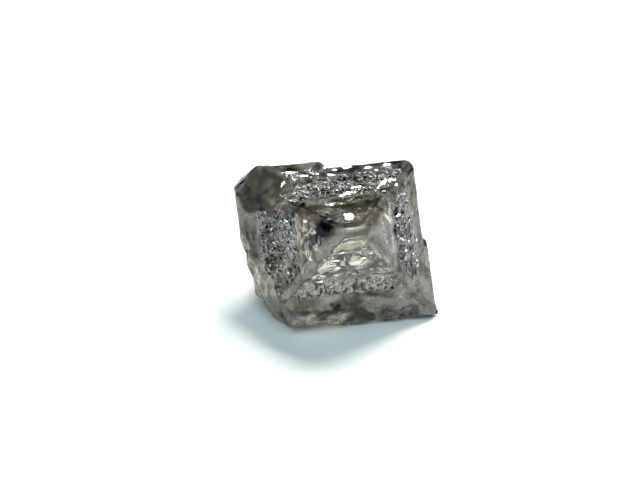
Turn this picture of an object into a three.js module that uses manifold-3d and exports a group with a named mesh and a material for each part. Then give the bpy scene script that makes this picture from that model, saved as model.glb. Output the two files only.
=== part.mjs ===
// A rough, uncut diamond: one octahedral crystal that lies on one of its eight faces, a corner pointing forward.
// Its faces are stacks of growth layers, so the crystal is a union of octahedra that share their face
// directions. Its edges and corners are worn flat, chips and triangular etch pits are cut out, and small plates
// stand on it. Everything is in millimetres and, until the last step, measured from the crystal's centre.
// +Z is up, -Y forward.

import * as THREE from 'three';
import { ConvexGeometry } from 'three/addons/geometries/ConvexGeometry.js';
import { mergeVertices } from 'three/addons/utils/BufferGeometryUtils.js';
import Module from 'manifold-3d';

const wasm = await Module();
wasm.setup();

// Driving dimensions.
const EDGE = 6.0; // the shorter edges of the octahedron
const RIDGE = 0.96; // how much longer the edges are that run from left to right
const EDGE_WEAR = 0.1; // how deep the worn edges are cut back
const TIP_WEAR = 0.16; // how deep the worn corners are cut back
const HAIR = 0.02; // how far a face that a growth layer doesn't raise lies inside the base octahedron's
const RELIEF_ROOM = 0.32; // how far the small relief stays from where a growth layer ends
const PLATE_HEIGHT = [0.02, 0.045]; // the least and the most
const PIT_DEPTH = [0.02, 0.05];
const ROOT = 0.06; // how far plates run on under the surface, and the cutters of the pits above it
const CHIP_SIDES = [22, 16]; // the flat sides of a chip's ellipsoid, round it and from pole to pole
const SEED = 1907; // sets where the small relief lies

const FACE_REACH = EDGE / Math.sqrt(6); // from the centre to a face
const STRETCH = RIDGE / Math.sqrt(6); // how much further out the four side faces are
const CORNER_REACH = EDGE / Math.SQRT2; // from the centre to a corner

// The crystal's three axes run through its corners. Face top is level when they lean like this.
const AXES = [
  new THREE.Vector3(0, -2, Math.SQRT2).normalize(),
  new THREE.Vector3(Math.sqrt(3), 1, Math.SQRT2).normalize(),
  new THREE.Vector3(-Math.sqrt(3), 1, Math.SQRT2).normalize(),
];
const RIGHTWARD = new THREE.Vector3(1, 0, 0);
const UPWARD = new THREE.Vector3(0, 0, 1);

// Each face leans the same way from all three axes, forwards or backwards along each.
const FACES = {
  top: [1, 1, 1],
  front: [1, -1, -1],
  left: [1, -1, 1],
  right: [1, 1, -1],
  back: [-1, 1, 1],
  backLeft: [-1, -1, 1],
  backRight: [-1, 1, -1],
  bottom: [-1, -1, -1],
};
const NAMES = Object.keys(FACES);
const nameOf = (signs) => NAMES.find((name) => FACES[name].every((s, i) => s === signs[i]));

function normalOf(name) {
  const normal = new THREE.Vector3();
  FACES[name].forEach((sign, i) => normal.addScaledVector(AXES[i], sign));
  return normal.normalize();
}

// The face that shares the edge across from a face's corner on one axis.
const neighbour = (name, axis) => nameOf(FACES[name].map((s, i) => (i === axis ? -s : s)));
const neighbours = (name) => [0, 1, 2].map((axis) => neighbour(name, axis));

// The face that meets a face at one point, the corner on that axis.
const across = (name, axis) => nameOf(FACES[name].map((s, i) => (i === axis ? s : -s)));

const isSide = (name) => FACES[name][1] !== FACES[name][2];
const baseReach = (name) => FACE_REACH + (isSide(name) ? STRETCH : 0);

// A closed three.js geometry as a manifold-3d solid.
function solidOf(geometry) {
  const bare = geometry.clone();
  bare.deleteAttribute('normal');
  bare.deleteAttribute('uv');
  const merged = mergeVertices(bare, 1e-5);
  return new wasm.Manifold(new wasm.Mesh({
    numProp: 3,
    vertProperties: merged.attributes.position.array,
    triVerts: new Uint32Array(merged.index.array),
  }));
}

// A manifold-3d solid as a three.js geometry.
function geometryOf(solid) {
  const mesh = solid.getMesh();
  const geometry = new THREE.BufferGeometry();
  geometry.setAttribute('position', new THREE.BufferAttribute(mesh.vertProperties, 3));
  geometry.setIndex(new THREE.BufferAttribute(mesh.triVerts, 1));
  return geometry;
}

// The convex solid inside a list of planes, each { normal, reach }: every point where three planes meet and
// that no plane cuts off is a corner of it.
function insidePlanes(planes) {
  const corners = [];
  for (let a = 0; a < planes.length; a++) {
    for (let b = a + 1; b < planes.length; b++) {
      const ab = planes[a].normal.clone().cross(planes[b].normal);
      for (let c = b + 1; c < planes.length; c++) {
        const volume = ab.dot(planes[c].normal);
        if (Math.abs(volume) < 1e-6) continue;
        const bc = planes[b].normal.clone().cross(planes[c].normal);
        const ca = planes[c].normal.clone().cross(planes[a].normal);
        const point = bc.multiplyScalar(planes[a].reach);
        point.addScaledVector(ca, planes[b].reach).addScaledVector(ab, planes[c].reach);
        point.divideScalar(volume);
        const inside = planes.every((p) => p.normal.dot(point) <= p.reach + 1e-7);
        const isNew = corners.every((q) => q.distanceTo(point) > 1e-5);
        if (inside && isNew) corners.push(point);
      }
    }
  }
  return solidOf(new ConvexGeometry(corners));
}

// How far out a growth layer's face lies. shift says how far its faces stand out from the base octahedron's.
const reachIn = (shift, name) => baseReach(name) + (shift[name] ?? -HAIR);

// One growth layer: a whole octahedral block.
function growthBlock(shift) {
  const reach = (name) => reachIn(shift, name);
  const planes = NAMES.map((name) => ({ normal: normalOf(name), reach: reach(name) }));
  for (const name of NAMES) {
    for (const other of neighbours(name)) {
      if (name > other) continue;
      const sum = normalOf(name).add(normalOf(other));
      const edge = (reach(name) + reach(other)) / sum.length();
      planes.push({ normal: sum.normalize(), reach: edge - EDGE_WEAR });
    }
  }
  for (const axis of [0, 1, 2]) {
    for (const sign of [1, -1]) {
      const around = NAMES.filter((name) => FACES[name][axis] === sign);
      const heights = around.map((name) => (reach(name) + reach(across(name, axis))) * Math.sqrt(3) / 2);
      planes.push({ normal: AXES[axis].clone().multiplyScalar(sign), reach: Math.min(...heights) - TIP_WEAR });
    }
  }
  return insidePlanes(planes);
}

// The base octahedron's corner on an axis. The left and right corners stand half a RIDGE further out.
function cornerAt(axis, sign) {
  const corner = AXES[axis].clone().multiplyScalar(sign * CORNER_REACH);
  return corner.addScaledVector(RIGHTWARD, Math.sign(corner.x) * RIDGE / 2 * (axis === 0 ? 0 : 1));
}

// A point on a face, from its shares of the face's three corners, on the highest growth layer there. It is null
// where that layer ends within RELIEF_ROOM.
function onFace(name, shares) {
  const normal = normalOf(name);
  const base = new THREE.Vector3();
  FACES[name].forEach((sign, axis) => base.addScaledVector(cornerAt(axis, sign), shares[axis]));
  const others = NAMES.filter((other) => other !== name);
  const spots = LAYERS.map((shift) => {
    const point = base.clone().addScaledVector(normal, reachIn(shift, name) - normal.dot(base));
    const room = Math.min(...others.map((other) => reachIn(shift, other) - normalOf(other).dot(point)));
    return { point, room, height: normal.dot(point) };
  });
  const highest = spots.filter(({ room }) => room > 0).sort((a, b) => b.height - a.height)[0];
  return highest && highest.room > RELIEF_ROOM ? highest.point : null;
}

// A small triangular block in a face, its sides parallel to the neighbouring faces. It reaches from below the
// surface to above it. As a plate its triangle points the face's own way, and as an etch pit the other way.
function triangle(name, centre, size, below, above, pointing) {
  const normal = normalOf(name);
  const sides = neighbours(name).map((other) => normalOf(other).multiplyScalar(pointing));
  return insidePlanes([
    { normal, reach: normal.dot(centre) + above },
    { normal: normal.clone().negate(), reach: below - normal.dot(centre) },
    ...sides.map((side) => ({ normal: side, reach: side.dot(centre) + size })),
  ]);
}
const plate = (name, centre, size, height) => triangle(name, centre, size, ROOT, height, 1);
const pit = (name, centre, size, depth) => triangle(name, centre, size, depth, ROOT, -1);

// The shell-shaped bite that a chip leaves in the edge between two faces: part of an ellipsoid whose flat sides
// show as ripples. share is how far along the edge it lies, half is half its length there, depth is measured
// from the sharp edge, round is its radius across the edge, and tip turns it from one face to the other.
function chip({ edge, share, half, depth, round, tip = 0 }) {
  const [one, other] = edge;
  const shared = [0, 1, 2].filter((axis) => FACES[one][axis] === FACES[other][axis]);
  const [start, end] = shared.map((axis) => cornerAt(axis, FACES[one][axis]));
  const along = end.clone().sub(start).normalize();
  const out = normalOf(one).add(normalOf(other)).normalize().applyAxisAngle(along, tip);
  const stretch = half / Math.sqrt(1 - ((round - depth) / round) ** 2);
  const place = new THREE.Matrix4().makeBasis(along, out.clone().cross(along), out);
  place.setPosition(start.lerp(end, share).addScaledVector(out, round - depth));
  return solidOf(new THREE.SphereGeometry(1, ...CHIP_SIDES).scale(stretch, round, round).applyMatrix4(place));
}

// The block beyond a flat break, which takes away what lies further out than the break along its direction.
function beyond({ direction, reach }) {
  const normal = new THREE.Vector3(...direction).normalize();
  const block = new THREE.BoxGeometry(2 * EDGE, 2 * EDGE, 2 * EDGE).translate(0, 0, EDGE + reach);
  return solidOf(block.applyQuaternion(new THREE.Quaternion().setFromUnitVectors(UPWARD, normal)));
}

// Numbers from 0 to 1 in a fixed order.
function randomFrom(seed) {
  let state = seed;
  return () => {
    state = (state * 1664525 + 1013904223) % 4294967296;
    return state / 4294967296;
  };
}

// Growth layers, each by how far its faces stand out from the base octahedron's. Where a face is set far in,
// the layer ends in a step on the faces next to it.
const LAYERS = [
  // The crystal as a whole, a little short of the octahedron on its upper right.
  { top: 0, front: 0, left: 0, right: 0, back: 0, backLeft: 0, backRight: -0.28, bottom: 0 },
  // The lower half of its right-hand edge, which stands further out.
  { top: -2.45, right: 0.03, backRight: 0.02, left: -2 },
  // The two terraces round the forward corner.
  {
    top: 0.08, left: 0.08, right: 0.08, front: 0.08,
    back: -0.75, backLeft: -1.0, backRight: -1.15, bottom: -1.75,
  },
  {
    top: 0.14, left: 0.14, right: 0.12, front: 0.17,
    back: -2.45, backLeft: -2.95, backRight: -2.8, bottom: -2.65,
  },
  // The layer over the left half of the top face.
  { top: 0.38, front: -3.45, right: -2.68 },
  // The three terraces round the rear corner.
  { back: 0.06, backLeft: 0.08, backRight: -0.18, top: -0.6, left: -1.0, right: -0.8 },
  { back: 0.12, backLeft: 0.14, backRight: -0.1, top: -1.5, left: -1.9, right: -2.1 },
  { back: 0.17, backLeft: 0.21, backRight: -0.02, top: -2.6, left: -3.1, right: -2.9 },
];

// Flat breaks: three that took the lower left corner away, and one at each upper corner and at the rear one.
const BREAKS = [
  { direction: [-0.95, -0.28, -0.12], reach: 3.06 },
  { direction: [-0.81, -0.35, -0.46], reach: 3.14 },
  { direction: [-0.23, -0.52, -0.82], reach: 3.03 },
  { direction: [-0.7, 0.17, 0.7], reach: 4.03 },
  { direction: [0.8, -0.16, 0.57], reach: 3.74 },
  { direction: [0.15, 0.9, -0.4], reach: 3.85 },
];

// Chips in the edges.
const CHIPS = [
  // The large flake off the upper left edge, in three ripples, and the smaller one beside it.
  { edge: ['top', 'left'], share: 0.8, half: 0.75, depth: 0.3, round: 1.3 },
  { edge: ['top', 'left'], share: 0.72, half: 0.7, depth: 0.2, round: 1.0, tip: 0.35 },
  { edge: ['top', 'left'], share: 0.86, half: 0.5, depth: 0.26, round: 0.7, tip: -0.5 },
  { edge: ['top', 'left'], share: 0.62, half: 0.34, depth: 0.13, round: 0.7 },
  // The notch in the left-hand edge, and the scalloped lower left corner and front lower edge.
  { edge: ['left', 'backLeft'], share: 0.515, half: 0.22, depth: 0.5, round: 0.5 },
  { edge: ['left', 'backLeft'], share: 0.22, half: 0.5, depth: 0.72, round: 0.9 },
  { edge: ['left', 'front'], share: 0.9, half: 0.4, depth: 0.3, round: 0.5, tip: 0.5 },
  { edge: ['front', 'bottom'], share: 0.37, half: 1.1, depth: 0.34, round: 1.5 },
  { edge: ['front', 'bottom'], share: 0.66, half: 0.5, depth: 0.14, round: 0.9 },
  { edge: ['front', 'bottom'], share: 0.93, half: 0.5, depth: 0.18, round: 0.9 },
  // Shallow ones in the edges at the rear and below.
  { edge: ['top', 'back'], share: 0.3, half: 0.45, depth: 0.15, round: 1.1 },
  { edge: ['top', 'back'], share: 0.48, half: 0.3, depth: 0.14, round: 0.8 },
  { edge: ['back', 'backRight'], share: 0.35, half: 0.85, depth: 0.3, round: 2.2 },
  { edge: ['back', 'backRight'], share: 0.6, half: 0.45, depth: 0.26, round: 1.4, tip: 0.15 },
  { edge: ['back', 'backLeft'], share: 0.64, half: 0.8, depth: 0.22, round: 1.9, tip: -0.1 },
  { edge: ['backLeft', 'bottom'], share: 0.4, half: 0.7, depth: 0.2, round: 1.8 },
  { edge: ['backRight', 'bottom'], share: 0.58, half: 0.8, depth: 0.22, round: 2.0 },
];

// Where the small relief lies: on which faces, between which shares of the way to the forward or rear corner,
// how many plates and pits on each face, and how large they may be.
const RELIEF = [
  { faces: ['left', 'top'], between: [0.22, 0.48], plates: 40, pits: 6, size: [0.05, 0.14] },
  { faces: ['right', 'front'], between: [0.22, 0.48], plates: 24, pits: 4, size: [0.04, 0.12] },
  { faces: ['left', 'top', 'right', 'front'], between: [0.08, 0.2], plates: 3, pits: 4, size: [0.04, 0.08] },
  { faces: ['front', 'right', 'left'], between: [0.6, 0.8], plates: 0, pits: 2, size: [0.03, 0.06] },
  { faces: ['back', 'backLeft', 'backRight'], between: [0.1, 0.5], plates: 12, pits: 10, size: [0.05, 0.12] },
  { faces: ['bottom'], between: [0.45, 0.75], plates: 0, pits: 9, size: [0.04, 0.1] },
];

function withRelief(stone) {
  const random = randomFrom(SEED);
  const within = ([low, high]) => low + (high - low) * random();
  const plates = [];
  const pits = [];
  for (const { faces, between, size, ...count } of RELIEF) {
    for (const name of faces) {
      const place = () => {
        const toCorner = within(between);
        const across = (1 - toCorner) * random();
        return onFace(name, [toCorner, across, 1 - toCorner - across]) ?? place();
      };
      for (let i = 0; i < count.plates; i++) {
        plates.push(plate(name, place(), within(size), within(PLATE_HEIGHT)));
      }
      for (let i = 0; i < count.pits; i++) {
        pits.push(pit(name, place(), within(size), within(PIT_DEPTH)));
      }
    }
  }
  return pits.reduce((all, one) => all.subtract(one), plates.reduce((all, one) => all.add(one), stone));
}

const layered = LAYERS.map(growthBlock).reduce((all, one) => all.add(one));
const taken = [...CHIPS.map(chip), ...BREAKS.map(beyond)];
const stone = taken.reduce((all, one) => all.subtract(one), withRelief(layered));

// The part stands on z = 0, with its origin under the middle of its box.
const geometry = geometryOf(stone);
geometry.computeBoundingBox();
const box = geometry.boundingBox;
const middle = box.getCenter(new THREE.Vector3());

const diamond = new THREE.Mesh(geometry, new THREE.MeshStandardMaterial({
  color: 0x8d877d,
  roughness: 0.12,
  metalness: 0,
  transparent: true,
  opacity: 0.55,
  flatShading: true,
}));
diamond.name = 'diamond';
diamond.position.set(-middle.x, -middle.y, -box.min.z);

const part = new THREE.Group();
part.add(diamond);

export default part;
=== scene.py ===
"""A rough octahedral diamond on a plain pale floor.

The crystal's solid is remeshed finely, its worn edges, pebbled bands and broken corners are shaped in the
mesh, and its flaws are joined into it. Lengths in the shaping are in millimetres from the crystal's centre,
and become metres when a mesh is finished.
"""

import math

import bpy
import bmesh
import numpy as np
from mathutils import Matrix, Vector, noise


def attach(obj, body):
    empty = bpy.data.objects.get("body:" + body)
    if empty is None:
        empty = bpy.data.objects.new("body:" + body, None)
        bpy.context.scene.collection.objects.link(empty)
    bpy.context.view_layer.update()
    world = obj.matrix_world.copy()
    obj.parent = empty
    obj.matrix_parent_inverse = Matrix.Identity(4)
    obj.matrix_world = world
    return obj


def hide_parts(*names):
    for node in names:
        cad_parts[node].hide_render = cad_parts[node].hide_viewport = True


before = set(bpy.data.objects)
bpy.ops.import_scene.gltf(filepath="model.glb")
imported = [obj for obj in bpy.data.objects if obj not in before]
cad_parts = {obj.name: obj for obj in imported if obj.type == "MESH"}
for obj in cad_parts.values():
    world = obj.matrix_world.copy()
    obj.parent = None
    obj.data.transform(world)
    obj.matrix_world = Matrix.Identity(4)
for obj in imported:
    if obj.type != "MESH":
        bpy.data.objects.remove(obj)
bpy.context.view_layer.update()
noise.seed_set(1)  # without it the noise vectors differ from run to run

# The crystal, in millimetres. Its centre is in the frame's own place, and the rest is measured from it.
MM = 0.001
CENTRE = Vector((-0.015, 0.070, 2.449))
EDGE = 6.0  # the octahedron's shorter edges
RIDGE = 0.96  # how much longer the edges from left to right are
AXES = np.array([
    (0, -2, math.sqrt(2)),
    (math.sqrt(3), 1, math.sqrt(2)),
    (-math.sqrt(3), 1, math.sqrt(2)),
]) / math.sqrt(6)
FACES = {
    "top": (1, 1, 1),
    "front": (1, -1, -1),
    "left": (1, -1, 1),
    "right": (1, 1, -1),
    "back": (-1, 1, 1),
    "back left": (-1, -1, 1),
    "back right": (-1, 1, -1),
    "bottom": (-1, -1, -1),
}
NAMES = list(FACES)
NORMALS = np.array([np.array(signs) @ AXES for signs in FACES.values()]) / math.sqrt(3)
REACH = np.array([(EDGE + (RIDGE if s[1] != s[2] else 0)) / math.sqrt(6) for s in FACES.values()])

# How far inside the four rear faces the two front terraces end, in mm, and the same for the front faces at
# the rear.
FRONT_TERRACES = (
    {"back": 0.75, "back left": 1.0, "back right": 1.15, "bottom": 1.75},
    {"back": 2.45, "back left": 2.95, "back right": 2.8, "bottom": 2.65},
)
REAR_TERRACES = (
    {"top": 0.6, "left": 1.0, "right": 0.8},
    {"top": 2.6, "left": 3.1, "right": 2.9},
)

# Where the crystal is broken: planes across its lower left corner, and a flake off its upper left edge. All
# are in mm.
BREAKS = np.array([(-0.95, -0.28, -0.12), (-0.81, -0.35, -0.46), (-0.23, -0.52, -0.82)])
BREAK_REACH = np.array([3.06, 3.14, 3.03])
FLAKE_MIDDLE = np.array((-2.62, 0.45, 2.55))
FLAKE_RADIUS = 0.95
FLAKE_STRETCH = (0.8, 0.8, 1.0)  # less than 1 makes it wider along that axis
FLAKE_BLOW = np.array((0.62, -0.35, -0.7))  # the flake's ripples follow each other in this direction
RIPPLE_SPACING = 0.32
RIPPLE_HEIGHT = 0.008

# Where one kind of surface turns into another, in mm: where the change begins and where it is full.
BAND_EDGE = (-0.03, 0.06)
BROKEN_EDGE = (-0.08, -0.01)
FLAKE_EDGE = (0.0, 0.12)
RIDGE_WEAR = (0.02, 0.26)  # from the ridge
APEX_WEAR = (0.3, 0.9)  # from the foremost point
LOWER_RIM = (-0.4, -0.2)  # from the front face
UNDERSIDE = (-0.2, -0.08)  # from the face that it lies on
ABOVE_FLOOR = (0.02, 0.2)  # the relief begins above where the crystal touches the floor
REARWARD = (-0.2, 0.3)  # behind the crystal's middle
FRONT_LAYERS = 0.3  # how far from the front face its terraces still lie
TOP_LAYERS = 0.35  # the same for the top face

# The growth hillocks. The real ones are finer still, and these are as coarse as they need to be to show.
GROOVE = 0.22  # how wide the grooves between them are, as a share of their size
SUNK = 0.6  # how far they are set into the face, as a share of their height
HATCH_SQUEEZE = (1.5, 0.7, 0.7)  # on the front face they are narrow and stand upright
STREAK_LENGTH = 3.5  # how many times longer than wide the growth streaks are

KEY_PLACE = (0.10, 0.09, 0.30)  # metres, the key light

# The photograph's camera.
CAMERA_AZIMUTH = -10.0  # degrees, to the left of the forward corner
CAMERA_ELEVATION = 28.5
CAMERA_ROLL = 1.3
CAMERA_DISTANCE = 110.0  # mm
CAMERA_CLIPS = (0.005, 20.0)  # metres
PIXELS_PER_MM = 27.5
CRYSTAL_PIXEL = (334.3, 246.8)  # where the crystal's centre falls in the 640 x 480 frame
FRAME_PIXELS = (640, 480)
SENSOR = 36.0  # mm

VOXEL = 0.05  # mm
DOUBLES = 2e-7  # metres, how near each other the corners of neighbouring faces lie
DIAMOND_IOR = 2.417


def linear(code):
    """An sRGB hex colour as linear red, green, blue and alpha."""
    parts = [int(code[i : i + 2], 16) / 255 for i in (1, 3, 5)]
    return [c / 12.92 if c <= 0.04045 else ((c + 0.055) / 1.055) ** 2.4 for c in parts] + [1.0]


def add(tree, kind, inputs=None, take=0, **settings):
    """Adds one node and hands back one of its outputs, by name or number.

    inputs gives each socket, by name or number, a value or another node's output to link.
    """
    node = tree.nodes.new(kind)
    for name, value in settings.items():
        setattr(node, name, value)
    for key, value in (inputs or {}).items():
        if isinstance(value, bpy.types.NodeSocket):
            tree.links.new(value, node.inputs[key])
        else:
            node.inputs[key].default_value = value
    return node.outputs[take]


def new_material(name):
    """An empty material and its tree with only an output."""
    material = bpy.data.materials.new(name)
    material.use_nodes = True
    tree = material.node_tree
    tree.nodes.clear()
    return material, tree, tree.nodes.new("ShaderNodeOutputMaterial")


def inside_terrace(points, ends):
    """How far each point lies inside the faces that end a terrace, in mm, below zero outside it."""
    rows = [NAMES.index(name) for name in ends]
    depth = REACH[rows] - np.array(list(ends.values())) - points @ NORMALS[rows].T
    return depth.min(axis=1)


def above(points, face):
    """How far each point lies above one of the octahedron's faces, in mm, below zero inside it."""
    row = NAMES.index(face)
    return points @ NORMALS[row] - REACH[row]


def ridge_distance(points):
    """How far each point lies from the nearest edge between two faces, roughly."""
    depth = np.sort(REACH - points @ NORMALS.T, axis=1)
    return depth[:, 1]


def ramp(value, low, high):
    """0 below low and 1 above high, with a smooth rise between."""
    t = np.clip((value - low) / (high - low), 0, 1)
    return t * t * (3 - 2 * t)


def grain(points, size, seed):
    """Smooth noise from about -1 to 1 with lumps of that size, in mm."""
    offset = Vector((seed * 7.3, seed * 3.1, seed * 5.7))
    return np.array([noise.noise(Vector(p) / size + offset) for p in points])


def hillocks(points, size, seed):
    """Flat-topped growth hillocks of that size, in mm, each at its own height and leaning its own way."""
    offset = Vector((seed * 2.9, seed * 6.1, seed * 4.3))
    level, spread, slope, crooked = 0.75, 0.5, 1.6, 0.3
    heights = []
    for p in points:
        place = Vector(p) / size + offset
        place += crooked * noise.noise_vector(place * 1.4)
        (nearest, second, *_), (middle, *_) = noise.voronoi(place)
        groove = min(1, (second - nearest) / GROOVE)
        lean = noise.noise_vector(middle * 3.7)
        heights.append(groove * (level + spread * lean.x + slope * (place - middle).dot(lean)))
    return np.array(heights)


def along_girdle(points, short, long):
    """The points squeezed so that noise of size 1 on them makes streaks along the girdle.

    short is how wide the streaks are, and long is how long.
    """
    signs = np.sign(points @ AXES.T)
    girdle = (signs[:, 1:2] * AXES[1] - signs[:, 2:3] * AXES[2]) / math.sqrt(2)
    run = (points * girdle).sum(axis=1)[:, None]
    return points / short - girdle * run * (1 / short - 1 / long)


def zones(points):
    """How much each point belongs to each of the crystal's kinds of surface, from 0 to 1."""
    forward = points @ AXES[0] > 0
    outer, inner = (
        np.where(forward, inside_terrace(points, front), inside_terrace(points, rear))
        for front, rear in zip(FRONT_TERRACES, REAR_TERRACES)
    )
    band = ramp(outer, *BAND_EDGE) * ramp(-inner, *BAND_EDGE)
    clear = ramp(inner, *BAND_EDGE)
    rim = (1 - band) * (1 - clear)
    planes = BREAKS / np.linalg.norm(BREAKS, axis=1)[:, None]
    beyond = (points @ planes.T - BREAK_REACH).max(axis=1)
    from_flake = np.linalg.norm((points - FLAKE_MIDDLE) * FLAKE_STRETCH, axis=1)
    ragged = 0.35 * grain(points, size=0.55, seed=16)
    flake = ramp(FLAKE_RADIUS - from_flake + ragged, *FLAKE_EDGE)
    broken = ramp(beyond, *BROKEN_EDGE) * (1 - flake)
    whole = (1 - broken) * (1 - flake)
    worn = ridge_distance(points) + 0.05 * grain(points, size=0.35, seed=19)
    ridge = (1 - ramp(worn, *RIDGE_WEAR)) * forward
    plain = whole * (1 - ridge)
    front_face = np.abs(above(points, "front")) < FRONT_LAYERS
    top_face = np.abs(above(points, "top")) < TOP_LAYERS
    return {
        "pebbles": band * forward * (1 - front_face) * plain,
        "hatch": band * forward * front_face * plain,
        "steps": band * (1 - forward) * plain,
        "clear": clear * plain,
        "satin": rim * plain,
        "glaze": rim * plain * top_face,
        "ridge": ridge * whole,
        "broken": broken,
        "flake": flake,
    }


def merged_copy(node):
    """A copy of a frame node's mesh with its doubles merged, in mm from the crystal's centre."""
    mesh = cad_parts[node].data.copy()
    work = bmesh.new()
    work.from_mesh(mesh)
    bmesh.ops.remove_doubles(work, verts=work.verts, dist=DOUBLES)
    work.to_mesh(mesh)
    work.free()
    mesh.transform(Matrix.Translation(-CENTRE) @ Matrix.Scale(1 / MM, 4))
    return mesh


def remeshed(mesh, voxel):
    """The mesh rebuilt from even small faces."""
    rough = bpy.data.objects.new("rough", mesh)
    bpy.context.scene.collection.objects.link(rough)
    modifier = rough.modifiers.new("even faces", "REMESH")
    modifier.mode = "VOXEL"
    modifier.voxel_size = voxel
    modifier.use_smooth_shade = True
    graph = bpy.context.evaluated_depsgraph_get()
    result = bpy.data.meshes.new_from_object(rough.evaluated_get(graph))
    bpy.data.objects.remove(rough)
    return result


def points_of(mesh):
    flat = np.zeros(len(mesh.vertices) * 3)
    mesh.vertices.foreach_get("co", flat)
    return flat.reshape(-1, 3)


def put_points(mesh, points):
    mesh.vertices.foreach_set("co", points.ravel())
    mesh.update()


def normals_of(mesh):
    flat = np.zeros(len(mesh.vertices) * 3, np.float32)
    mesh.vertex_normals.foreach_get("vector", flat)
    return flat.reshape(-1, 3).astype(float)


def smoothed(mesh, points, share, rounds):
    """The points after some rounds of moving each towards its neighbours' mean, by share of the way."""
    edges = np.zeros(len(mesh.edges) * 2, np.int32)
    mesh.edges.foreach_get("vertices", edges)
    a, b = edges[0::2], edges[1::2]
    count = np.bincount(edges, minlength=len(points))[:, None]
    for _ in range(rounds):
        total = np.zeros_like(points)
        for axis in range(3):
            total[:, axis] = np.bincount(a, points[b, axis], len(points))
            total[:, axis] += np.bincount(b, points[a, axis], len(points))
        points = points + (total / count - points) * share[:, None]
    return points


def shape_stone():
    """The diamond's fine mesh, in mm from its centre, with an attribute for each kind of surface."""
    mesh = remeshed(merged_copy("diamond"), VOXEL)
    points = points_of(mesh)
    kinds = zones(points)

    # Wear: a little everywhere, more on the ridges and in the flake, and most at the foremost point.
    points = smoothed(mesh, points, share=0.3 + 0.2 * kinds["broken"], rounds=3)
    points = smoothed(mesh, points, share=0.5 * np.maximum(kinds["ridge"], kinds["flake"]), rounds=10)
    foremost = points[np.argmax(points @ AXES[0])]
    apex = 1 - ramp(np.linalg.norm(points - foremost, axis=1), *APEX_WEAR)
    points = smoothed(mesh, points, share=0.55 * apex, rounds=15)
    put_points(mesh, points)

    def lumps(height, size, seed):
        return height * grain(points, size, seed)

    def plates(height, size, seed, squeeze=(1, 1, 1)):
        return height * (hillocks(points * squeeze, size, seed) - SUNK)

    # Relief: how far each kind of surface stands out along its normals, in mm.
    out = normals_of(mesh)
    rear = ramp(-(points @ AXES[0]), *REARWARD)
    lower_rim = kinds["satin"] * ramp(above(points, "front"), *LOWER_RIM)
    underside = ramp(above(points, "bottom"), *UNDERSIDE)
    from_blow = (points - FLAKE_MIDDLE) @ FLAKE_BLOW + lumps(height=0.25, size=0.7, seed=8)
    ripples = RIPPLE_HEIGHT * np.sin(2 * math.pi * from_blow / RIPPLE_SPACING)
    growth_lines = 0.006 * grain(along_girdle(points, short=0.2, long=0.7), size=1.0, seed=5)
    lift = kinds["pebbles"] * plates(height=0.05, size=0.2, seed=1)
    lift += kinds["hatch"] * plates(height=0.06, size=0.2, seed=2, squeeze=HATCH_SQUEEZE)
    lift += kinds["clear"] * (growth_lines + lumps(height=0.02, size=0.7, seed=9))
    lift += (kinds["steps"] + rear * kinds["clear"]) * plates(height=0.2, size=0.95, seed=14)
    lift += kinds["satin"] * lumps(height=0.030, size=0.7, seed=3)
    lift += kinds["satin"] * lumps(height=0.012, size=0.25, seed=4)
    lift += lower_rim * lumps(height=0.22, size=0.9, seed=10)
    lift += lower_rim * lumps(height=0.03, size=0.4, seed=11)
    lift += kinds["broken"] * lumps(height=0.16, size=0.6, seed=6)
    lift += kinds["broken"] * lumps(height=0.05, size=0.25, seed=18)
    lift += kinds["flake"] * ripples
    lift += kinds["flake"] * lumps(height=0.12, size=0.65, seed=12)
    lift += kinds["flake"] * lumps(height=0.03, size=0.25, seed=13)
    lift += kinds["ridge"] * lumps(height=0.018, size=0.4, seed=7)
    lift *= ramp(points[:, 2] + CENTRE.z, *ABOVE_FLOOR)
    hollows = underside * 0.12 * np.minimum(0, hillocks(points, size=0.75, seed=15) - 0.7)
    points = points + out * (lift + hollows)[:, None]
    put_points(mesh, points)

    for name, values in {**kinds, "apex": apex}.items():
        attribute = mesh.attributes.new(name, "FLOAT", "POINT")
        attribute.data.foreach_set("value", values.astype(np.float32))
    streaks = mesh.attributes.new("streaks", "FLOAT_VECTOR", "POINT")
    streaks.data.foreach_set("vector", along_girdle(points, 1.0, STREAK_LENGTH).astype(np.float32).ravel())
    return mesh


# The attributes that say where each kind of surface, each kind of stain and the painted shade are.
KINDS = (
    "clear", "pebbles", "hatch", "satin", "glaze", "ridge", "apex", "broken", "flake",
    "amber", "umber", "painted shade patches",
)

# The diamond's cloudy patterns. Each has its coordinates, the size of its clouds in mm, its detail, and the
# values of the noise at which it begins and is full. One without those is the noise as it is.
PATTERNS = {
    "smoke": ("streaks", 0.3, 2.0, (0.42, 0.58)),
    "olive clouds": ("plain", 1.0, 2.0, (0.54, 0.66)),
    "painted pebble shine": ("plain", 0.22, 3.0, (0.43, 0.54)),
    "rust clouds": ("plain", 1.3, 1.0, (0.54, 0.64)),
    "lace clouds": ("plain", 0.45, 2.0, (0.42, 0.52)),
    "painted hatch highlights": ("hatch", 1.0, 2.0, (0.44, 0.48)),
    "hatch grain": ("hatch", 1.0, 2.0, None),
    "wear": ("plain", 0.7, 2.0, (0.44, 0.60)),
    "dark clouds": ("plain", 0.9, 2.0, (0.50, 0.62)),
    "painted reflection streaks": ("streaks", 0.4, 3.0, (0.44, 0.56)),
    "frost": ("plain", 0.3, 3.0, (0.42, 0.60)),
    # where the painted shade beside the ridges lies
    "ridge clouds": ("plain", 0.5, 2.0, (0.35, 0.55)),
    # where the flake's painted shade lies
    "flake clouds": ("plain", 0.9, 2.0, (0.44, 0.60)),
    "ridge polish": ("plain", 0.45, 3.0, (0.40, 0.62)),
    "satin polish": ("plain", 0.5, 2.0, (0.35, 0.65)),
    "satin grain": ("plain", 0.16, 3.0, None),
    "flake grain": ("plain", 0.09, 3.0, None),
}
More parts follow.
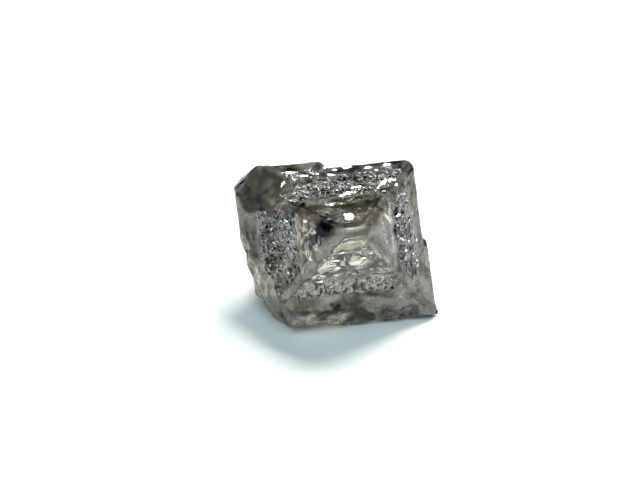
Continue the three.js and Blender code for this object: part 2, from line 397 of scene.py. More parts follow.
# These marks make both the front band's bump and its painted light and shade.
HATCH_MARK = (0.14, 0.3, 0.3)  # mm, the marks on the front band, drawn as coarse as they need to be to show
# The lace is a small bump, and in the pebbled colour its threads are painted highlights.
LACE_CELL = 0.17  # mm, the meshes of the bright lace round the pebbles
LACE_THREAD = 0.14  # how thick its threads are, as a share of a mesh
LACE_BEND = 0.12  # mm, how crooked they are
LACE_BEND_SIZE = 0.2
# Beside each ridge lies a line of painted shade.
BESIDE_RIDGE = (0.05, 0.4)  # how much of a ridge a place has where its dark line begins and is full
# the share of the top rim's glaze that its painted reflection covers
GLAZE_COVER = 0.75

# Places where two of those meet.
OVERLAPS = {
    # where the lace's painted highlights show
    "laced": ("lace", "lace clouds"),
    "painted ridge shade": ("beside ridge", "ridge clouds"),
    "painted flake shade": ("flake clouds", "flake"),
    "dull ridge": ("ridge polish", "ridge"),
    "dull apex": ("apex", "ridge"),
    "dull satin": ("satin polish", "satin"),
}

# The diamond's colours. Each finish has a ground colour, and then coats of a colour or another finish, each
# where a pattern or a kind of surface is.
FINISHES = {
    "glassy": ("#a39e8c", ("#fffdf8", "smoke"), ("#5d6240", "olive clouds")),
    # Painted light: the nearly black ground is painted shade between the pebbles, under painted shine and a
    # lace of painted highlights. The rust clouds are real stains.
    "pebbled": ("#0a1016", ("#f2f6f8", "painted pebble shine"), ("#2b2115", "rust clouds"), ("#ffffff", "laced")),
    # Painted light and shade: dark marks between painted highlights stand in for the front band's hatch
    # relief.
    "hatch in painted light and shade": ("#0b0906", ("#fffdf6", "painted hatch highlights")),
    "worn": ("#fffaf0", ("#8a7c62", "wear"), ("#261e14", "dark clouds")),
    # Painted reflection: dark blue-grey with light streaks, on the glaze of the top rim.
    "painted glaze reflection": ("#26343e", ("#f4f8fa", "painted reflection streaks")),
    "frosted": ("#fbf6ec", ("#a0968a", "frost")),
    "skin": (
        "#f8f6f2",
        ("glassy", "clear"),
        ("pebbled", "pebbles"),
        ("hatch in painted light and shade", "hatch"),
        ("worn", "satin"),
        ("painted glaze reflection", "glaze reflection cover"),
        ("frosted", "ridge"),
        # painted shade in lines beside the ridges
        ("#1a1712", "painted ridge shade"),
        ("#b8b09a", "broken"),
        ("#6e6a4c", "flake"),
        # painted shade in patches on the flake
        ("#1a180c", "painted flake shade"),
        ("#8c6f4e", "amber"),
        # dark brown: rust on the lower rim, painted shade on the inner left face
        ("#221809", "umber"),
        # painted shade, in dark patches
        ("#080c10", "painted shade patches"),
    ),
}

POLISH = 0.02  # the roughness of the glassy faces
ROUGHER = {
    "satin": 0.20,
    "dull ridge": 0.20,
    "glaze": -0.14,
    "ridge": 0.14,
    "dull apex": 0.26,
    "flake": 0.58,
    "broken": 0.14,
    "pebbles": 0.02,
    "dull satin": 0.12,
}

# Marks too small for the mesh: the pattern, the kind of surface that has it and its depth in mm.
FINE_RELIEF = (
    ("lace", "pebbles", 0.012),
    ("hatch grain", "hatch", 0.05),
    ("satin grain", "satin", 0.012),
    ("flake grain", "flake", 0.02),
)


def diamond_material():
    """Natural diamond as it grew, uncut: clear, with faces from glassy to satin.

    Its high IOR gives the glassy faces hard bright and dark patches. The worn rims and ridges scatter more
    light and look paler and softer, and rust turns the flake olive brown. Some light and shade is painted
    into the colour as well: lace highlights over dark grooves on the bands, a streaked reflection on the top
    rim, and shade beside the ridges, in the flake and in dark patches.
    """
    material, tree, output = new_material("uncut natural diamond")
    place = add(tree, "ShaderNodeTexCoord", take="Object")
    in_mm = add(tree, "ShaderNodeVectorMath", {0: place, 3: 1 / MM}, operation="SCALE")
    places = {
        "plain": in_mm,
        "streaks": add(tree, "ShaderNodeAttribute", take="Vector", attribute_name="streaks"),
        "hatch": add(tree, "ShaderNodeMapping", {
            "Vector": in_mm,
            "Scale": [1 / size for size in HATCH_MARK],
        }),
    }
    where = {name: add(tree, "ShaderNodeAttribute", take="Fac", attribute_name=name) for name in KINDS}
    for name, (coordinates, size, detail, limits) in PATTERNS.items():
        where[name] = add(tree, "ShaderNodeTexNoise", {
            "Vector": places[coordinates],
            "Scale": 1 / size,
            "Detail": detail,
        }, take="Fac")
        if limits:
            where[name] = add(tree, "ShaderNodeMapRange", {
                "Value": where[name],
                "From Min": limits[0],
                "From Max": limits[1],
            })

    bend = add(tree, "ShaderNodeTexNoise", {
        "Vector": in_mm,
        "Scale": 1 / LACE_BEND_SIZE,
        "Detail": 1.0,
    }, take="Color")
    bend = add(tree, "ShaderNodeVectorMath", {0: bend, 3: LACE_BEND}, operation="SCALE")
    crooked = add(tree, "ShaderNodeVectorMath", {0: in_mm, 1: bend}, operation="ADD")
    from_thread = add(tree, "ShaderNodeTexVoronoi", {
        "Vector": crooked,
        "Scale": 1 / LACE_CELL,
    }, take="Distance", feature="DISTANCE_TO_EDGE")
    where["lace"] = add(tree, "ShaderNodeMapRange", {
        "Value": from_thread,
        "From Max": LACE_THREAD,
        "To Min": 1.0,
        "To Max": 0.0,
    })
    # the places beside the ridges that get painted shade
    halfway = add(tree, "ShaderNodeMath", {0: where["ridge"], 1: 0.5}, operation="PINGPONG")
    where["beside ridge"] = add(tree, "ShaderNodeMapRange", {
        "Value": halfway,
        "From Min": BESIDE_RIDGE[0],
        "From Max": BESIDE_RIDGE[1],
    })
    where["glaze reflection cover"] = add(tree, "ShaderNodeMath", {
        0: where["glaze"],
        1: GLAZE_COVER,
    }, operation="MULTIPLY")
    for name, (first, second) in OVERLAPS.items():
        where[name] = add(tree, "ShaderNodeMath", {
            0: where[first],
            1: where[second],
        }, operation="MULTIPLY")

    colours = {}
    for finish, (ground, *coats) in FINISHES.items():
        colour = linear(ground)
        for coat, share in coats:
            over = colours[coat] if coat in colours else linear(coat)
            colour = add(tree, "ShaderNodeMix", {
                0: where[share],
                6: colour,
                7: over,
            }, take=2, data_type="RGBA")
        colours[finish] = colour

    rough = POLISH
    for name, amount in ROUGHER.items():
        rough = add(tree, "ShaderNodeMath", {
            0: where[name],
            1: amount,
            2: rough,
        }, operation="MULTIPLY_ADD")

    normal = None
    for pattern, kind, depth in FINE_RELIEF:
        inputs = {"Height": where[pattern], "Strength": where[kind], "Distance": depth * MM}
        if normal:
            inputs["Normal"] = normal
        normal = add(tree, "ShaderNodeBump", inputs)

    shader = add(tree, "ShaderNodeBsdfPrincipled", {
        "Base Color": colours["skin"],
        "Roughness": rough,
        "Normal": normal,
        "IOR": DIAMOND_IOR,
        "Transmission Weight": 0.92,  # the rest is scattered by cracks too small to draw
        "Specular Tint": linear("#b8b8b8"),
    })
    depths = add(tree, "ShaderNodeVolumeAbsorption", {"Color": linear("#bdb8ab"), "Density": 120.0})
    tree.links.new(shader, output.inputs["Surface"])
    tree.links.new(depths, output.inputs["Volume"])
    return material


def air_film_material():
    """A thin film of air in a cleavage crack: it reflects nearly all light, so it looks silvery white."""
    material, tree, output = new_material("air film in a cleavage crack")
    patch = 0.12 * MM
    patches = add(tree, "ShaderNodeTexNoise", {
        "Vector": add(tree, "ShaderNodeTexCoord", take="Object"),
        "Scale": 1 / patch,
        "Detail": 2.0,
    }, take="Fac")
    shader = add(tree, "ShaderNodeBsdfPrincipled", {
        "Base Color": linear("#ffffff"),
        "Roughness": add(tree, "ShaderNodeMapRange", {"Value": patches, "To Min": 0.05, "To Max": 0.25}),
        "Metallic": 0.7,
    })
    tree.links.new(shader, output.inputs["Surface"])
    return material


def graphite_material():
    """Graphite and sulphide that grew into the crystal: dull, nearly black and a little blue-grey."""
    material, tree, output = new_material("graphite and sulphide")
    grain_size = 0.06 * MM
    grains = add(tree, "ShaderNodeTexNoise", {
        "Vector": add(tree, "ShaderNodeTexCoord", take="Object"),
        "Scale": 1 / grain_size,
        "Detail": 3.0,
    }, take="Fac")
    colour = add(tree, "ShaderNodeMix", {
        0: grains,
        6: linear("#060708"),
        7: linear("#1a2126"),
    }, take=2, data_type="RGBA")
    shader = add(tree, "ShaderNodeBsdfPrincipled", {"Base Color": colour, "Roughness": 0.5})
    tree.links.new(shader, output.inputs["Surface"])
    return material


def camera_axes():
    """The photograph's camera's right, up and backward directions."""
    azimuth, elevation, roll = (math.radians(d) for d in (CAMERA_AZIMUTH, CAMERA_ELEVATION, CAMERA_ROLL))
    back = Vector((
        math.sin(azimuth) * math.cos(elevation),
        -math.cos(azimuth) * math.cos(elevation),
        math.sin(elevation),
    ))
    right = Vector((math.cos(azimuth), math.sin(azimuth), 0))
    up = back.cross(right)
    return (
        right * math.cos(roll) - up * math.sin(roll),
        up * math.cos(roll) + right * math.sin(roll),
        back,
    )


def camera_place():
    """Where the camera stands, in mm from the crystal's centre."""
    right, up, back = camera_axes()
    aside = right * (FRAME_PIXELS[0] / 2 - CRYSTAL_PIXEL[0]) + up * (CRYSTAL_PIXEL[1] - FRAME_PIXELS[1] / 2)
    return back * CAMERA_DISTANCE + aside / PIXELS_PER_MM


def seen_at(pixel):
    """The direction from the camera through a pixel of the 640 x 480 frame."""
    right, up, back = camera_axes()
    x = (pixel[0] - FRAME_PIXELS[0] / 2) / PIXELS_PER_MM
    y = (FRAME_PIXELS[1] / 2 - pixel[1]) / PIXELS_PER_MM
    return (right * x + up * y - back * CAMERA_DISTANCE).normalized()


def under_surface(stone, pixel, depth):
    """A point inside the crystal that shows at a pixel, the direction of sight there and the face's normal.

    Sight bends as it enters the crystal, and depth is measured along it from there, in mm.
    """
    start = CENTRE + camera_place()
    ray = seen_at(pixel)
    _, place, _, _ = stone.ray_cast(start * MM, ray)
    place = place / MM - CENTRE
    normal = Vector(NORMALS[int(np.argmax(np.array(place) @ NORMALS.T - REACH))])
    cosine = -ray.dot(normal)
    ratio = 1 / DIAMOND_IOR
    bent = ray * ratio + normal * (ratio * cosine - math.sqrt(1 - ratio * ratio * (1 - cosine * cosine)))
    return place + bent * depth, bent, normal


def mirror_normal(sight, leaning, inside):
    """The normal of a crack that throws the key light back along the line of sight.

    To a crack inside the crystal the light comes in through the top face, bent.
    """
    lamp = (Vector(KEY_PLACE) / MM - CENTRE).normalized()
    if inside:
        lamp /= DIAMOND_IOR
        lamp.z = math.sqrt(1 - lamp.x * lamp.x - lamp.y * lamp.y)
    normal = (lamp - sight).normalized()
    normal.rotate(Matrix.Rotation(math.radians(leaning), 3, camera_axes()[0]))
    return normal


def make_camera():
    data = bpy.data.cameras.new("camera")
    data.sensor_width = SENSOR
    data.lens = SENSOR * PIXELS_PER_MM * CAMERA_DISTANCE / FRAME_PIXELS[0]
    data.clip_start, data.clip_end = CAMERA_CLIPS
    camera = bpy.data.objects.new("camera", data)
    turn = Matrix(camera_axes()).transposed().to_4x4()
    camera.matrix_world = Matrix.Translation((CENTRE + camera_place()) * MM) @ turn
    bpy.context.scene.collection.objects.link(camera)
    bpy.context.scene.camera = camera


def finished_piece(name, mesh, material):
    """An object with its material, of a mesh in mm from the crystal's centre. It stays above the floor."""
    points = points_of(mesh)
    points[:, 2] = np.maximum(points[:, 2], -CENTRE.z)
    put_points(mesh, points)
    mesh.transform(Matrix.Translation(CENTRE * MM) @ Matrix.Scale(MM, 4))
    mesh.shade_smooth()
    mesh.materials.clear()
    mesh.materials.append(material)
    piece = bpy.data.objects.new(name, mesh)
    bpy.context.scene.collection.objects.link(piece)
    return piece


# Feathers: cracks just under the surface. Each has the pixel where it shows, its depth, length and width in
# mm, its turn in degrees from level in the view, and how far it leans, in degrees, from mirroring the key
# light. Those with no depth are chips open to the air.
FEATHERS = (
    # on the front face
    ((320, 259), 0.30, 0.80, 0.34, 25, 0),
    ((332, 262), 0.35, 0.70, 0.26, 20, 3),
    ((312, 281), 0.25, 0.60, 0.32, 35, 0),
    ((299, 286), 0.25, 0.55, 0.20, 15, 2),
    ((366, 258), 0.30, 0.55, 0.16, 8, 0),
    ((358, 252), 0.30, 0.35, 0.12, 30, 4),
    # on the top face
    ((349, 217), 0.20, 0.70, 0.50, 80, 0),
    ((349, 194), 0.0, 0.80, 0.24, 30, 0),
    ((357, 187), 0.0, 0.45, 0.12, 20, 3),
    # on the left face
    ((283, 286), 0.20, 0.50, 0.28, 30, 0),
    ((312, 249), 0.35, 0.40, 0.16, -60, 0),
    ((304, 221), 0.30, 0.40, 0.14, -65, 2),
    # on the right face
    ((389, 252), 0.25, 0.90, 0.12, -80, 0),
    ((385, 225), 0.25, 0.60, 0.20, -80, 4),
    # on the front face and its band
    ((345, 268), 0.40, 0.90, 0.12, 6, 2),
    ((345, 243), 0.30, 0.80, 0.10, 30, 3),
    ((389, 288), 0.20, 0.34, 0.26, 40, 0),
    ((352, 277), 0.10, 1.60, 0.05, 3, 0),
    ((318, 290), 0.12, 0.30, 0.16, 20, 0),
    ((300, 289), 0.12, 0.34, 0.14, 10, 0),
    ((340, 289), 0.12, 0.26, 0.10, 70, 0),
    ((352, 288), 0.12, 0.34, 0.10, 80, 0),
    ((364, 289), 0.12, 0.30, 0.08, 85, 2),
    ((376, 287), 0.12, 0.26, 0.10, 60, 0),
    # along the upper edge
    ((293, 173), 0.0, 0.60, 0.14, 5, 0),
    ((305, 176), 0.0, 0.40, 0.10, 5, 0),
    ((333, 175), 0.0, 0.50, 0.12, 5, 0),
    ((335, 170), 0.0, 0.30, 0.10, 5, 0),
    ((347, 168), 0.0, 0.50, 0.16, 5, 0),
    ((369, 168), 0.0, 0.45, 0.20, 5, 0),
    ((387, 165), 0.0, 0.34, 0.20, 5, 0),
    ((392, 180), 0.0, 0.30, 0.20, 5, 0),
    ((284, 182), 0.0, 0.60, 0.10, 65, 0),
    ((382, 184), 0.0, 0.90, 0.14, 55, 0),
    ((324, 168), 0.0, 0.20, 0.08, 5, 0),
    ((376, 170), 0.0, 0.20, 0.08, 20, 0),
    ((396, 185), 0.0, 0.24, 0.12, 60, 0),
    # on the right band
    ((398, 215), 0.0, 0.20, 0.14, 70, 0),
    ((408, 242), 0.0, 0.24, 0.12, 60, 0),
    ((406, 250), 0.0, 0.16, 0.10, 80, 3),
    ((416, 241), 0.0, 0.22, 0.08, 70, 3),
    # above the dark patch, and on the left band
    ((331, 204), 0.30, 0.50, 0.28, 10, 9),
    ((287, 221), 0.0, 0.30, 0.06, -50, 0),
    ((283, 240), 0.0, 0.26, 0.06, 40, 0),
    ((290, 256), 0.0, 0.30, 0.06, -70, 0),
    ((272, 229), 0.0, 0.24, 0.05, 60, 0),
    ((276, 252), 0.0, 0.24, 0.05, 20, 3),
    # a few more, on the upper edge, the front face and the right band
    ((316, 174), 0.0, 0.26, 0.08, 5, 0),
    ((321, 282), 0.15, 0.60, 0.22, 20, 0),
    ((367, 251), 0.25, 0.40, 0.14, 10, 0),
    ((345, 253), 0.25, 0.60, 0.12, 15, 0),
    ((408, 241), 0.20, 0.34, 0.12, 60, 0),
    ((403, 228), 0.20, 0.50, 0.07, -75, 0),
)

# Graphite: flat grains just under the surface, placed as the feathers are and turned to the line of sight.
# The first four are dark sheets of painted shade in the dark patch. The one with no depth is the black
# speck, and lies along its face.
GRAPHITE = (
    ((326, 231), 0.20, 0.62, 0.40, 30),
    ((319, 236), 0.20, 0.50, 0.26, 10),
    ((322, 219), 0.25, 0.30, 0.42, 0),
    ((331, 222), 0.30, 0.24, 0.36, -20),
    ((336, 309), 0.0, 0.42, 0.22, 35),
    ((357, 251), 0.20, 0.34, 0.10, 10),
    ((396, 235), 0.20, 0.22, 0.50, 10),
    ((262, 203), 0.15, 0.40, 0.26, 20),
    ((400, 262), 0.20, 0.20, 0.40, 20),
)
GRAPHITE_SEED = 40  # the first grain's

LENS_RINGS = 3
LENS_SIDES = 20
LENS_THICKNESS = 0.012  # mm, at its middle
LENS_OUTLINE = 0.9  # how far its outline wanders, as a share of its size
LENS_RUFFLE = 0.02  # mm, how far it is from flat
RUFFLES_PER_MM = 4.0


def add_lens(work, middle, normal, length, width, turn, seed):
    """Adds one thin lens to a bmesh: a crack or a grain with an outline that wanders, closed all round."""
    across = camera_axes()[0]
    along = (across - normal * across.dot(normal)).normalized()
    along.rotate(Matrix.Rotation(math.radians(turn), 3, normal))
    beside = normal.cross(along)
    thick = [LENS_THICKNESS / 2 * (1 - (ring / LENS_RINGS) ** 2) for ring in range(LENS_RINGS)]

    def ruffle(place):
        return LENS_RUFFLE * noise.noise(place * RUFFLES_PER_MM)

    def ring_points(share, height):
        points = []
        for side in range(LENS_SIDES):
            angle = 2 * math.pi * side / LENS_SIDES
            x, y = math.cos(angle), math.sin(angle)
            wander = 1 + LENS_OUTLINE * noise.noise(Vector((1.9 * x, 1.9 * y, seed * 3.7)))
            place = (along * (x * length / 2) + beside * (y * width / 2)) * (share * wander)
            points.append(work.verts.new(middle + place + normal * (ruffle(middle + place) + height)))
        return points

    rim = ring_points(1, 0)
    for face in (1, -1):
        loops = [ring_points(ring / LENS_RINGS, face * thick[ring]) for ring in range(1, LENS_RINGS)]
        loops.append(rim)
        pole = work.verts.new(middle + normal * (ruffle(middle) + face * thick[0]))
        for side in range(LENS_SIDES):
            after = (side + 1) % LENS_SIDES
            corners = [(pole, loops[0][side], loops[0][after])]
            corners += [(a[side], b[side], b[after], a[after]) for a, b in zip(loops, loops[1:])]
            for corner in corners:
                work.faces.new(corner if face > 0 else corner[::-1])


def lens_piece(name, lenses, material):
    """One piece of thin lenses. Each has its middle, normal, length, width, turn and seed."""
    work = bmesh.new()
    for lens in lenses:
        add_lens(work, *lens)
    mesh = bpy.data.meshes.new(name)
    work.to_mesh(mesh)
    work.free()
    return finished_piece(name, mesh, material)


def make_feathers(stone, material):
    lenses = []
    for seed, (pixel, depth, length, width, turn, leaning) in enumerate(FEATHERS):
        middle, sight, _ = under_surface(stone, pixel, depth)
        if depth == 0:
            sight = seen_at(pixel)
        lenses.append((middle, mirror_normal(sight, leaning, depth > 0), length, width, turn, seed))
    return lens_piece("cleavage_feathers", lenses, material)


def make_graphite(stone, material):
    lenses = []
    for seed, (pixel, depth, length, width, turn) in enumerate(GRAPHITE, start=GRAPHITE_SEED):
        middle, sight, face = under_surface(stone, pixel, depth)
        lenses.append((middle, -sight if depth > 0 else face, length, width, turn, seed))
    return lens_piece("graphite_grains_and_shade_sheets", lenses, material)


def strewing_tree(name, inputs):
    """An empty geometry node tree with these inputs and the types of their sockets.

    It comes with what it is given and with its result node.
    """
    tree = bpy.data.node_groups.new(name, "GeometryNodeTree")
    sockets = tree.interface
    sockets.new_socket("Geometry", in_out="INPUT", socket_type="NodeSocketGeometry")
    sockets.new_socket("Geometry", in_out="OUTPUT", socket_type="NodeSocketGeometry")
    for label, kind in {**inputs, "Seed": "Int", "Material": "Material"}.items():
        sockets.new_socket(label, in_out="INPUT", socket_type="NodeSocket" + kind)
    return tree, tree.nodes.new("NodeGroupInput").outputs, tree.nodes.new("NodeGroupOutput")


BALL_SIZES = {"Smallest": "Float", "Largest": "Float", "Thickness": "Float"}
WHOLE_TURN = (0.0, 2 * math.pi)
ANY_WAY = ((-1.0, -1.0, -1.0), (1.0, 1.0, 1.0))
SLIMNESS = (0.3, 0.9)  # a ball's width, as a share of its length


def draws(tree, seed, limits):
    """Random draws between two limits each, by name. Each has the seed after the one before."""
    drawn = {}
    for step, (name, (low, high)) in enumerate(limits.items(), start=1):
        own_seed = add(tree, "ShaderNodeMath", {0: seed, 1: step}, operation="ADD")
        if isinstance(low, tuple):
            inputs = {0: low, 1: high, 8: own_seed}
            drawn[name] = add(tree, "FunctionNodeRandomValue", inputs, data_type="FLOAT_VECTOR")
        else:
            inputs = {2: low, 3: high, 8: own_seed}
            drawn[name] = add(tree, "FunctionNodeRandomValue", inputs, take=1, data_type="FLOAT")
    return drawn


def strewn(tree, given, points, drawn, facing, rarity, roundness):
    """Small flat balls on the points, as real geometry, each facing a vector and turned about it by chance.

    A higher rarity makes long ones rarer.
    """
    share = add(tree, "ShaderNodeMath", {0: drawn["length"], 1: rarity}, operation="POWER")
    length = add(tree, "ShaderNodeMix", {0: share, 2: given["Smallest"], 3: given["Largest"]})
    width = add(tree, "ShaderNodeMath", {0: length, 1: drawn["width"]}, operation="MULTIPLY")
    upright = add(tree, "FunctionNodeAlignRotationToVector", {"Vector": facing}, axis="Z")
    turn = add(tree, "ShaderNodeCombineXYZ", {2: drawn["turn"]})
    instances = add(tree, "GeometryNodeInstanceOnPoints", {
        "Points": points,
        "Instance": add(tree, "GeometryNodeMeshIcoSphere", {"Radius": 0.5, "Subdivisions": roundness}),
        "Rotation": add(tree, "FunctionNodeRotateRotation", {0: upright, 1: turn}, rotation_space="LOCAL"),
        "Scale": add(tree, "ShaderNodeCombineXYZ", {0: length, 1: width, 2: given["Thickness"]}),
    })
    return add(tree, "GeometryNodeRealizeInstances", {0: instances})


def chip_tree():
    """Geometry nodes: tiny flat chips on the pebbled bands that catch the light, all facing about one way."""
    tree, given, result = strewing_tree("chips on the pebbled faces", {
        "Density": "Float",
        **BALL_SIZES,
        "Facing": "Vector",
        "Lean": "Float",
    })
    drawn = draws(tree, given["Seed"], {
        "lean": ANY_WAY,
        "length": (0.0, 1.0),
        "width": SLIMNESS,
        "turn": WHOLE_TURN,
    })
    pebbled = add(tree, "GeometryNodeInputNamedAttribute", {"Name": "pebbles"}, data_type="FLOAT")
    points = add(tree, "GeometryNodeDistributePointsOnFaces", {
        "Mesh": given["Geometry"],
        "Density": add(tree, "ShaderNodeMath", {0: pebbled, 1: given["Density"]}, operation="MULTIPLY"),
        "Seed": given["Seed"],
    })
    lean = add(tree, "ShaderNodeVectorMath", {0: drawn["lean"], 3: given["Lean"]}, operation="SCALE")
    facing = add(tree, "ShaderNodeVectorMath", {0: given["Facing"], 1: lean}, operation="ADD")
    real = strewn(tree, given, points, drawn, facing, rarity=3.0, roundness=1)
    coated = add(tree, "GeometryNodeSetMaterial", {0: real, "Material": given["Material"]})
    tree.links.new(coated, result.inputs[0])
    return tree


def on_axes(tree, shares):
    """A vector from its shares along the crystal's three axes."""
    first, second, third = (
        add(tree, "ShaderNodeVectorMath", {0: tuple(axis), 3: share}, operation="SCALE")
        for share, axis in zip(add(tree, "ShaderNodeSeparateXYZ", {0: shares}).node.outputs, AXES)
    )
    total = add(tree, "ShaderNodeVectorMath", {0: first, 1: second}, operation="ADD")
    return add(tree, "ShaderNodeVectorMath", {0: total, 1: third}, operation="ADD")


def fleck_tree():
    """Geometry nodes: flat, ruffled flecks strewn through an octahedron, each along a cleavage plane."""
    tree, given, result = strewing_tree("flecks in the crystal", {
        "Count": "Int",
        "Reach": "Float",
        **BALL_SIZES,
        "Ruffle": "Float",
    })
    drawn = draws(tree, given["Seed"], {
        "place": ANY_WAY,
        "reach": (0.0, 1.0),
        "plane": ANY_WAY,
        "turn": WHOLE_TURN,
        "length": (0.0, 1.0),
        "width": SLIMNESS,
    })

    # Inside an octahedron, a point's shares along the axes add up to less than its reach, whatever the signs.
    sizes = add(tree, "ShaderNodeVectorMath", {0: drawn["place"]}, operation="ABSOLUTE")
    x, y, z = add(tree, "ShaderNodeSeparateXYZ", {0: sizes}).node.outputs
    total = add(tree, "ShaderNodeMath", {0: x, 1: y}, operation="ADD")
    total = add(tree, "ShaderNodeMath", {0: total, 1: z}, operation="ADD")
    reach = add(tree, "ShaderNodeMath", {0: drawn["reach"], 1: 0.4}, operation="POWER")
    reach = add(tree, "ShaderNodeMath", {0: reach, 1: given["Reach"]}, operation="MULTIPLY")
    stretch = add(tree, "ShaderNodeMath", {0: reach, 1: total}, operation="DIVIDE")
    shares = add(tree, "ShaderNodeVectorMath", {0: drawn["place"], 3: stretch}, operation="SCALE")
    points = add(tree, "GeometryNodePoints", {"Count": given["Count"], "Position": on_axes(tree, shares)})

    signs = add(tree, "ShaderNodeVectorMath", {0: drawn["plane"]}, operation="SIGN")
    real = strewn(tree, given, points, drawn, on_axes(tree, signs), rarity=2.0, roundness=2)
    wander = add(tree, "ShaderNodeTexNoise", {"Scale": 4.0, "Detail": 2.0}, take="Color")
    wander = add(tree, "ShaderNodeVectorMath", {0: wander, 1: (0.5, 0.5, 0.5)}, operation="SUBTRACT")
    ruffled = add(tree, "GeometryNodeSetPosition", {
        "Geometry": real,
        "Offset": add(tree, "ShaderNodeVectorMath", {0: wander, 3: given["Ruffle"]}, operation="SCALE"),
    })
    coated = add(tree, "GeometryNodeSetMaterial", {0: ruffled, "Material": given["Material"]})
    tree.links.new(coated, result.inputs[0])
    return tree


def strewn_piece(name, tree, mesh, material, **sizes):
    """What the tree strews on or in the mesh, as one piece. sizes are the tree's inputs, in mm."""
    holder = bpy.data.objects.new(name + " holder", mesh)
    bpy.context.scene.collection.objects.link(holder)
    modifier = holder.modifiers.new(name, "NODES")
    modifier.node_group = tree
    for socket in tree.interface.items_tree:
        if socket.name in sizes:
            modifier[socket.identifier] = sizes[socket.name]
        elif socket.name == "Material":
            modifier[socket.identifier] = material
    graph = bpy.context.evaluated_depsgraph_get()
    result = bpy.data.meshes.new_from_object(holder.evaluated_get(graph))
    bpy.data.objects.remove(holder)
    return finished_piece(name, result, material)


# Stains in the skin: the pixel at each one's middle and its radius in mm. Amber is light iron rust and umber
# is dark brown, partly iron rust and partly painted shade. The third kind is painted shade in dark patches.
STAINS = {
    "amber": (
        ((301, 227), 0.30),
        ((306, 304), 0.30),
        ((316, 312), 0.25),
        ((285, 285), 0.25),
        ((276, 320), 0.35),
    ),
    "umber": (
        # The first two are painted shade on the inner left face. Those along the lower rim are rust, and the
        # other three only darken the skin.
        ((299, 206), 0.35),
        ((304, 243), 0.30),
        ((345, 180), 0.30),
        ((285, 320), 0.55),
        ((321, 318), 0.40),
        ((333, 311), 0.35),
        ((356, 313), 0.30),
        ((371, 317), 0.32),
        ((407, 307), 0.22),
        ((243, 190), 0.45),
        ((272, 262), 0.45),
    ),
    "painted shade patches": (
        # Painted shade: dark patches on the faces, one of them round the black speck.
        ((325, 228), 0.55),
        ((314, 238), 0.30),
        ((262, 205), 0.25),
        ((395, 232), 0.35),
        ((336, 309), 0.45),
        ((421, 266), 0.40),
        ((399, 268), 0.25),
        ((352, 178), 0.40),
        ((396, 216), 0.32),
        ((397, 230), 0.28),
        ((402, 250), 0.28),
        ((401, 262), 0.30),
        ((397, 277), 0.25),
        ((267, 236), 0.35),
        ((272, 272), 0.30),
    ),
}


def stain(stone):
    """Adds an attribute for each kind of stain, strong at its middle and fading with a wandering edge."""
    # One kind is painted shade only, and umber is partly painted shade.
    points = points_of(stone.data) / MM - np.array(CENTRE)
    wander = 0.3 * grain(points, size=0.22, seed=17)
    for kind, stains in STAINS.items():
        strength = np.zeros(len(points))
        for pixel, radius in stains:
            middle = under_surface(stone, pixel, 0.0)[0]
            away = np.linalg.norm(points - np.array(middle), axis=1)
            strength = np.maximum(strength, 1 - ramp(away + wander, 0.4 * radius, radius))
        attribute = stone.data.attributes.new(kind, "FLOAT", "POINT")
        attribute.data.foreach_set("value", strength.astype(np.float32))


def grow_in(stone, flaws):
    """Joins the flaws into the stone's own mesh, where each keeps its material."""
    chosen = [stone, *flaws]
    with bpy.context.temp_override(
        active_object=stone, selected_objects=chosen, selected_editable_objects=chosen
    ):
        bpy.ops.object.join()


def make_floor():
    """Matt white paper, which shows nothing of its own but the stone's soft bluish shadow."""
    material, tree, output = new_material("matt white paper")
    shader = add(tree, "ShaderNodeBsdfPrincipled", {"Base Color": linear("#f6f6f6"), "Roughness": 0.9})
    tree.links.new(shader, output.inputs["Surface"])
    half = 1.5
    corners = [(-half, -half, 0), (half, -half, 0), (half, half, 0), (-half, half, 0)]
    mesh = bpy.data.meshes.new("floor")
    mesh.from_pydata(corners, [], [(0, 1, 2, 3)])
    mesh.materials.append(material)
    floor = bpy.data.objects.new("floor", mesh)
    bpy.context.scene.collection.objects.link(floor)


def add_softbox(name, place, size, power, code):
    """A square studio light that points at the crystal. Its place and size are in metres, its power in W."""
    data = bpy.data.lights.new(name, "AREA")
    data.size = size
    data.energy = power
    data.color = linear(code)[:3]
    lamp = bpy.data.objects.new(name, data)
    lamp.location = place
    lamp.rotation_euler = (Vector(place) - CENTRE * MM).to_track_quat("Z", "Y").to_euler()
    bpy.context.scene.collection.objects.link(lamp)


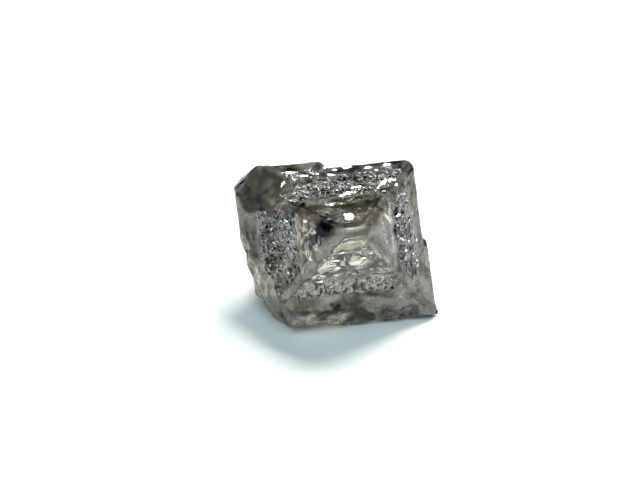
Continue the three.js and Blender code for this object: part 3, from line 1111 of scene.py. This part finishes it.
def light_scene():
    """A bluish glow round the horizon under a dark ceiling, with two soft boxes.

    The warm key light stands high behind the crystal, to the right. A larger bluish one stands in front, to
    the left.
    """
    scene = bpy.context.scene
    scene.world = bpy.data.worlds.new("studio")
    scene.world.use_nodes = True
    tree = scene.world.node_tree
    direction = add(tree, "ShaderNodeTexCoord", take="Generated")

    # The glow fades between 6 and 25 degrees above the horizon, whose sines these are.
    glow = add(tree, "ShaderNodeMapRange", {
        "Value": add(tree, "ShaderNodeSeparateXYZ", {0: direction}, take="Z"),
        "From Min": 0.10,
        "From Max": 0.42,
        "To Min": 0.5,
        "To Max": 0.02,
    }, interpolation_type="SMOOTHSTEP")

    background = tree.nodes["Background"]
    background.inputs["Color"].default_value = linear("#cfe2ec")
    tree.links.new(glow, background.inputs["Strength"])
    add_softbox("key", place=KEY_PLACE, size=0.18, power=1.25, code="#fff9f3")
    add_softbox("fill", place=(-0.10, -0.26, 0.36), size=0.30, power=1.6, code="#d0e6ea")

    # The photograph is contrasty and bright, and its floor burns out to white.
    scene.view_settings.view_transform = "Standard"
    scene.view_settings.exposure = 0.2
    scene.view_settings.gamma = 0.85

    # Light turns round many times in a diamond before it leaves.
    scene.cycles.max_bounces = 32
    scene.cycles.transmission_bounces = 32
    scene.cycles.glossy_bounces = 24
    scene.cycles.diffuse_bounces = 6


make_camera()

silvery = air_film_material()
black = graphite_material()
crystal = shape_stone()
chips = strewn_piece(
    "chips", chip_tree(), crystal.copy(), silvery,
    Density=20.0, Smallest=0.04, Largest=0.24, Thickness=0.012,
    Facing=tuple(mirror_normal(sight=-camera_axes()[2], leaning=0, inside=False)), Lean=0.2, Seed=5,
)
silvery_flecks = strewn_piece(
    "silvery_flecks", fleck_tree(), bpy.data.meshes.new("empty"), silvery,
    Count=60, Reach=3.2, Smallest=0.12, Largest=0.6, Thickness=0.014, Ruffle=0.25, Seed=11,
)
graphite_flecks = strewn_piece(
    "graphite_flecks", fleck_tree(), bpy.data.meshes.new("empty"), black,
    Count=90, Reach=3.2, Smallest=0.08, Largest=0.4, Thickness=0.05, Ruffle=0.15, Seed=23,
)
stone = finished_piece("rough_diamond", crystal, diamond_material())
stain(stone)
grow_in(stone, [
    make_feathers(stone, silvery),
    make_graphite(stone, black),
    chips,
    silvery_flecks,
    graphite_flecks,
])
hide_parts("diamond")
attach(stone, "root")

make_floor()
light_scene()
